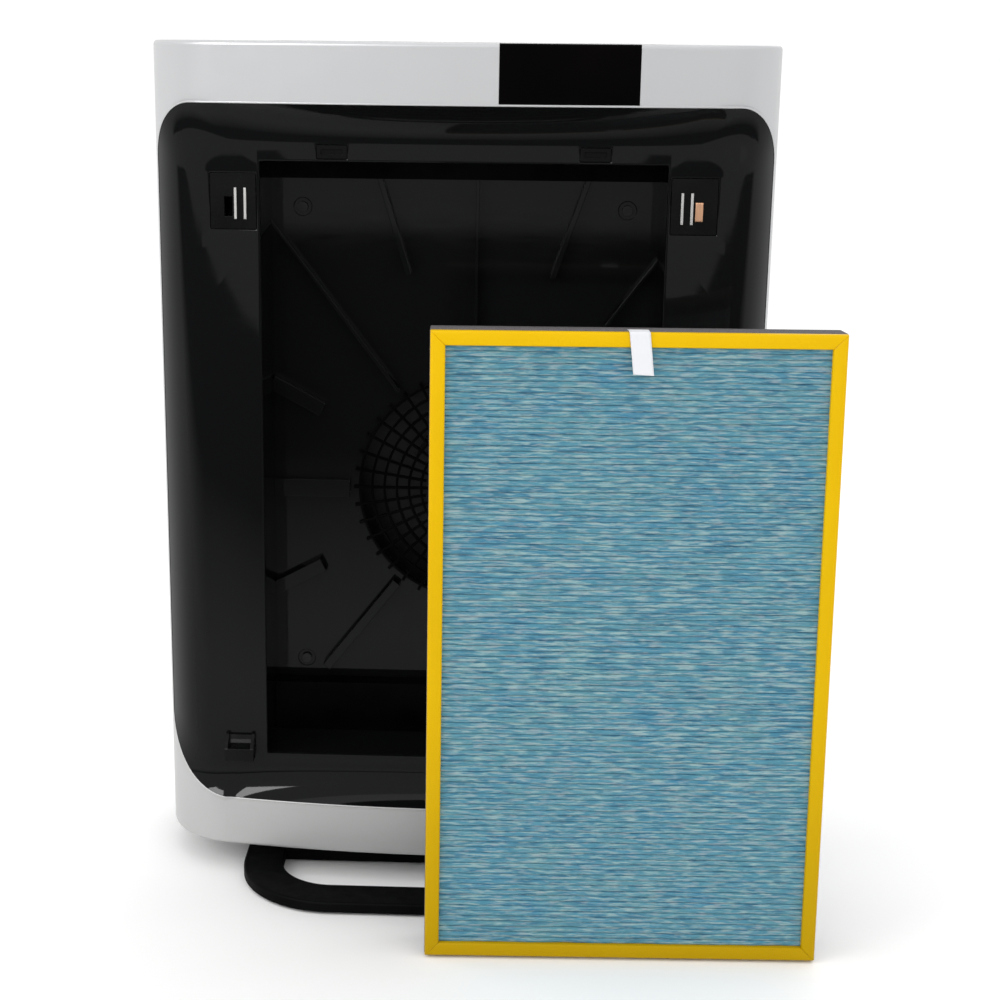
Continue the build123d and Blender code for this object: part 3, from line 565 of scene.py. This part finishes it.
def rail(name, origin, along, inward, length):
    """One rail, mitred at both ends, with a hairline groove at each mitre."""
    profile = rail_profile()
    stations = [(0.0, 0.45), (0.12, 0.25), (0.45, 0.05), (0.9, 0.0)]
    spots = [(True, s, d) for s, d in stations] + [(True, 30.0, 0.0), (False, 30.0, 0.0)]
    spots += [(False, s, d) for s, d in reversed(stations)]
    middle = Vector((RAIL / 2, FILTER_T / 2))
    points = []
    for at_start, back, dip in spots:
        for a, y in profile:
            pulled = Vector((a, y)) + (middle - Vector((a, y))).normalized() * dip
            run = pulled.x + back if at_start else length - pulled.x - back
            spot = origin + along * run + inward * pulled.x
            points.append((spot.x, pulled.y, spot.z))
    size = len(profile)
    faces = grid_faces(len(spots), size, closed=True)
    faces += [tuple(range(size)), tuple(reversed(range((len(spots) - 1) * size, len(spots) * size)))]
    made = piece(name, on_panel(points), faces, "frame_yellow", "filter_panel")
    made.data.set_sharp_from_angle(angle=math.radians(40.0))
    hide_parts(name.replace("yellow", "filter"))


def rails():
    """The four rails of the filter's frame."""
    w, h = FILTER_W / 2, FILTER_H
    x, z = Vector((1, 0, 0)), Vector((0, 0, 1))
    rail("yellow_rail_bottom", Vector((-w, 0, 0)), x, z, FILTER_W)
    rail("yellow_rail_top", Vector((-w, 0, h)), x, -z, FILTER_W)
    rail("yellow_rail_left", Vector((-w, 0, 0)), z, x, FILTER_H)
    rail("yellow_rail_right", Vector((w, 0, 0)), z, -x, FILTER_H)


def waver(x, z, seed, scale):
    """Smooth unevenness, about -1 to 1, that repeats from run to run."""
    return noise.noise(Vector((x / scale, seed, z / scale)))


def pleat_pack():
    """Paper folded into close pleats that run across the panel."""
    half = FILTER_W / 2 - RAIL + 0.3
    z0, z1 = RAIL - 0.3, FILTER_H - RAIL + 0.3
    pitch = (z1 - z0) / PLEATS
    shape = [(0.0, 1.0), (0.04, 0.35), (0.12, 0.05), (0.36, 0.0), (0.62, 0.0), (0.88, 0.05), (0.96, 0.35)]
    columns = 97
    points = []
    for p in range(PLEATS):
        for part, deep in shape:
            for c in range(columns):
                x = -half + 2 * half * c / (columns - 1)
                z = z0 + pitch * (p + part)
                tip = 1.0 - deep
                z += tip * (0.6 * waver(x, p * 9.0, 3.0, 26.0) + 0.45 * waver(x, p * 40.0, 8.0, 9.0))
                y = PLEAT_Y + 0.6 * waver(x, p * 30.0, 5.0, 26.0) + deep * PLEAT_DEPTH
                points.append((x, y, min(max(z, z0), z1)))
    last_y = PLEAT_Y + PLEAT_DEPTH
    points += [(-half + 2 * half * c / (columns - 1), last_y, z1) for c in range(columns)]
    faces = grid_faces(PLEATS * len(shape) + 1, columns)
    made = piece("pleat_pack", on_panel(points), faces, "media_blue", "filter_panel")
    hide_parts("filter_media")


def glue_threads():
    """Fine threads of glue across the pleats that hold their spacing."""
    half = FILTER_W / 2 - RAIL
    z0, z1 = RAIL, FILTER_H - RAIL
    pitch = (z1 - z0) / PLEATS
    count = int(2 * half / GLUE_PITCH)
    points, faces = [], []
    for k in range(count + 1):
        x0 = (k - count / 2) * GLUE_PITCH
        rings = PLEATS * 4
        first = len(points)
        for i in range(rings + 1):
            z = z0 + (z1 - z0) * i / rings
            sag = 0.5 - 0.5 * math.cos(2 * math.pi * (z - z0) / pitch)
            x = x0 + 0.5 * waver(x0, z, 1.0, 30.0)
            y = 4.3 - 0.4 * sag
            for turn in range(5):
                a = 2 * math.pi * turn / 5
                points.append((x + THREAD_R * math.cos(a), y + THREAD_R * math.sin(a), z))
        faces += [tuple(first + i for i in face) for face in grid_faces(rings + 1, 5, closed=True)]
    piece("glue_threads", on_panel(points), faces, "media_blue", "filter_panel")


def seal():
    """Foam strip round the frame's back, pillowed between its corners."""
    profile = []
    for k in range(13):
        turn = math.pi * k / 12
        a = 1.0 + (RAIL - 1.6) * (0.5 - 0.5 * math.cos(turn))
        profile.append((a, FILTER_T + 0.05 + (GASKET_T - 0.35) * math.sin(turn) ** 0.45))
    w, h = FILTER_W / 2, FILTER_H
    corners = [(-1, 0), (1, 0), (1, 1), (-1, 1)]
    points = []
    per_side = 24
    for k in range(4):
        (sx, sz), (ex, ez) = corners[k], corners[(k + 1) % 4]
        for i in range(per_side):
            t = i / per_side
            for a, y in profile:
                start = Vector((sx * (w - a), a if sz == 0 else h - a))
                end = Vector((ex * (w - a), a if ez == 0 else h - a))
                spot = start.lerp(end, t)
                ripple = 0.25 * waver(spot.x, spot.y, 2.0, 14.0) * (y - FILTER_T) / GASKET_T
                points.append((spot.x, y + ripple - 0.15, spot.y))
    size, rings = len(profile), 4 * per_side
    faces = grid_faces(rings, size)
    last = (rings - 1) * size
    faces += [(last + c, last + c + 1, c + 1, c) for c in range(size - 1)]
    for r in range(rings):
        here, there = r * size, (r + 1) % rings * size
        faces.append((here, here + size - 1, there + size - 1, there))
    made = piece("foam_seal", on_panel(points), faces, "seal_foam", "filter_panel")
    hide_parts("filter_gasket")


def sleeve():
    """Grey felt band round the panel's edge, behind the yellow front."""
    w, h, out = FILTER_W / 2, FILTER_H, 0.3
    rings = [(5.6, 0.05), (6.0, out), (FILTER_T - 0.4, out), (FILTER_T, 0.05)]
    points = []
    for y, o in rings:
        for x, z in rectangle(-w - o, w + o, -o * 0.3, h + o, radius=0.8):
            points.append((x, y, z))
    faces = grid_faces(len(rings), len(points) // len(rings), closed=True)
    piece("felt_sleeve", on_panel(points), faces, "seal_foam", "filter_panel")


def ribbon():
    """Pull tab: a ribbon over the top rail that hangs down the front."""
    width, rows, columns = 14.0, 48, 9
    back, drop = 16.0, 27.5
    top = FILTER_H + 0.45
    route = []
    for k in range(rows + 1):
        s = (back + drop + 2.2) * k / rows
        if s < back:
            y, z = back - s, top + 0.35 * math.sin(math.pi * s / back)
        elif s < back + 2.2:
            turn = (s - back) / 2.2 * math.pi / 2
            y, z = -math.sin(turn), top - 1.4 * (1 - math.cos(turn))
        else:
            run = s - back - 2.2
            y = -1.0 - 0.9 * (run / drop) ** 2 + 0.25 * math.sin(run * 0.35)
            z = top - 1.4 - run
        route.append((s, y, z))
    points = []
    for s, y, z in route:
        for c in range(columns):
            u = (c / (columns - 1) - 0.5) * width
            down = max(0.0, s - back)
            x = u + 0.11 * down
            curl = 0.35 * (abs(u) / width * 2) ** 3 * (down / drop)
            skew = 0.05 * u * down / drop
            points.append((x, y - curl, z - skew))
    faces = grid_faces(rows + 1, columns)
    made = piece("ribbon", on_panel(points), faces, "tab_fabric", "filter_panel")
    thick = made.modifiers.new("thickness", "SOLIDIFY")
    thick.thickness = 0.0003
    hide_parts("pull_tab")


# ---------------------------------------------------------------- studio

def sheet_on_floor(name, x, y, z):
    """A level rectangle between two x and two y values, in metres."""
    mesh = bpy.data.meshes.new(name)
    corners = [(x[0], y[0], z), (x[1], y[0], z), (x[1], y[1], z), (x[0], y[1], z)]
    mesh.from_pydata(corners, [], [(0, 1, 2, 3)])
    made = bpy.data.objects.new(name, mesh)
    bpy.context.scene.collection.objects.link(made)
    return made


def floor():
    """Pale plain floor."""
    made = sheet_on_floor("floor", (-90.0, 90.0), (-90.0, 90.0), 0.0)
    s = Shader("floor_paper")
    grain = s.ramp(s.noise(3.0, 3.0), (0.3, 0.0), (0.7, 1.0))
    s.link(s.mix(grain, (0.955, 0.955, 0.955), (0.97, 0.97, 0.97)), "Base Color")
    s.set(Roughness=0.85, Specular_IOR_Level=0.1)
    made.data.materials.append(s.material)


def flag():
    """Black card, faded at both ends, that lies in front: it shows only in reflections, as a painted dark
    reflection on glossy surfaces.
    """
    made = sheet_on_floor("flag", (-9.0, 9.0), (-4.9, -0.5), 0.002)
    s = Shader("flag_card")
    split = s.node("SeparateXYZ", _0=s.place)
    ahead = s.maths("MULTIPLY", split.outputs[1], -1.0)
    fade = s.ramp(s.maths("DIVIDE", ahead, 8.0), (0.063, 0.95), (0.17, 0.06), (0.57, 0.06), (0.61, 0.95))
    s.link(fade, "Base Color")
    s.set(Roughness=0.9, Specular_IOR_Level=0.0)
    made.data.materials.append(s.material)
    made.visible_camera = made.visible_diffuse = made.visible_shadow = False


def softbox(name, place, aim, size, power, colour=(1.0, 1.0, 1.0)):
    """A square of soft light, aimed at a point."""
    lamp = bpy.data.lights.new(name, "AREA")
    lamp.shape = "RECTANGLE"
    lamp.size, lamp.size_y = size
    lamp.energy = power
    lamp.color = colour
    made = bpy.data.objects.new(name, lamp)
    bpy.context.scene.collection.objects.link(made)
    made.location = place
    made.rotation_euler = (Vector(aim) - Vector(place)).to_track_quat("-Z", "Y").to_euler()
    return made


def studio():
    """White surroundings, the floor, the card and the lamps."""
    floor()
    flag()
    world = bpy.data.worlds.new("studio")
    bpy.context.scene.world = world
    world.use_nodes = True
    tree = world.node_tree
    sky = tree.nodes["Background"]
    sky.inputs["Color"].default_value = (1.0, 1.0, 1.0, 1.0)
    sky.inputs["Strength"].default_value = 1.08
    bpy.context.scene.view_settings.view_transform = "Standard"
    softbox("key", (-2.1, -1.4, 1.9), (-0.1, 0.0, 0.4), (1.2, 1.2), 13.0, (1.0, 0.99, 0.97))
    sweep = softbox("sweep", (-1.3, -1.9, 1.95), (0.0, 0.0, 0.1), (1.1, 1.1), 75.0)
    sweep.visible_diffuse = False  # makes highlights, lights no matte surface
    softbox("fill", (2.1, -1.6, 1.3), (0.0, 0.0, 0.3), (1.2, 1.4), 1.5, (0.97, 0.98, 1.0))
    softbox("top", (0.0, 0.1, 2.4), (0.0, 0.0, 0.3), (1.6, 1.2), 5.0)
    softbox("rear", (0.5, 2.6, 1.8), (0.0, 0.0, 0.3), (1.6, 1.2), 6.0)


def camera():
    """Where the picture was taken from: a little above, looking down."""
    yaw, pitch, roll = (math.radians(v) for v in (-2.1388, 14.5781, -0.5569))
    ahead = Vector((math.sin(yaw) * math.cos(pitch), math.cos(yaw) * math.cos(pitch), -math.sin(pitch)))
    right = Vector((math.cos(yaw), -math.sin(yaw), 0.0))
    down = ahead.cross(right)
    turned = math.cos(roll) * right + math.sin(roll) * down
    down = math.cos(roll) * down - math.sin(roll) * right
    eye = bpy.data.cameras.new("camera")
    made = bpy.data.objects.new("camera", eye)
    bpy.context.scene.collection.objects.link(made)
    made.matrix_world = Matrix((
        (turned.x, -down.x, -ahead.x, 0.03081),
        (turned.y, -down.y, -ahead.y, -1.34655),
        (turned.z, -down.z, -ahead.z, 0.64399),
        (0, 0, 0, 1),
    ))
    eye.sensor_width = 36.0
    eye.lens = 36.0 * 1.78989
    eye.shift_x, eye.shift_y = 0.0652, 0.0021
    eye.clip_start, eye.clip_end = 0.05, 100.0
    bpy.context.scene.camera = made


# ---------------------------------------------------------------- scene

FINISH = finishes()
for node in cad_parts.values():
    for slot in node.material_slots:
        slot.material = FINISH[slot.material.name.split(".")[0]]
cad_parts["chamber_screws"].material_slots[0].material = FINISH["wheel_plastic"]
# Painted shade: the filter seats and the inlet grille get the darker, duller copy of the black moulding.
for name in ("filter_seats", "inlet_grille"):
    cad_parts[name].material_slots[0].material = FINISH["seat_black"]
camera()
studio()
black_front()
opening_lip()
cover_lug("cover_lug_left", -1)
cover_lug("cover_lug_right", 1)
rails()
pleat_pack()
glue_threads()
seal()
sleeve()
ribbon()
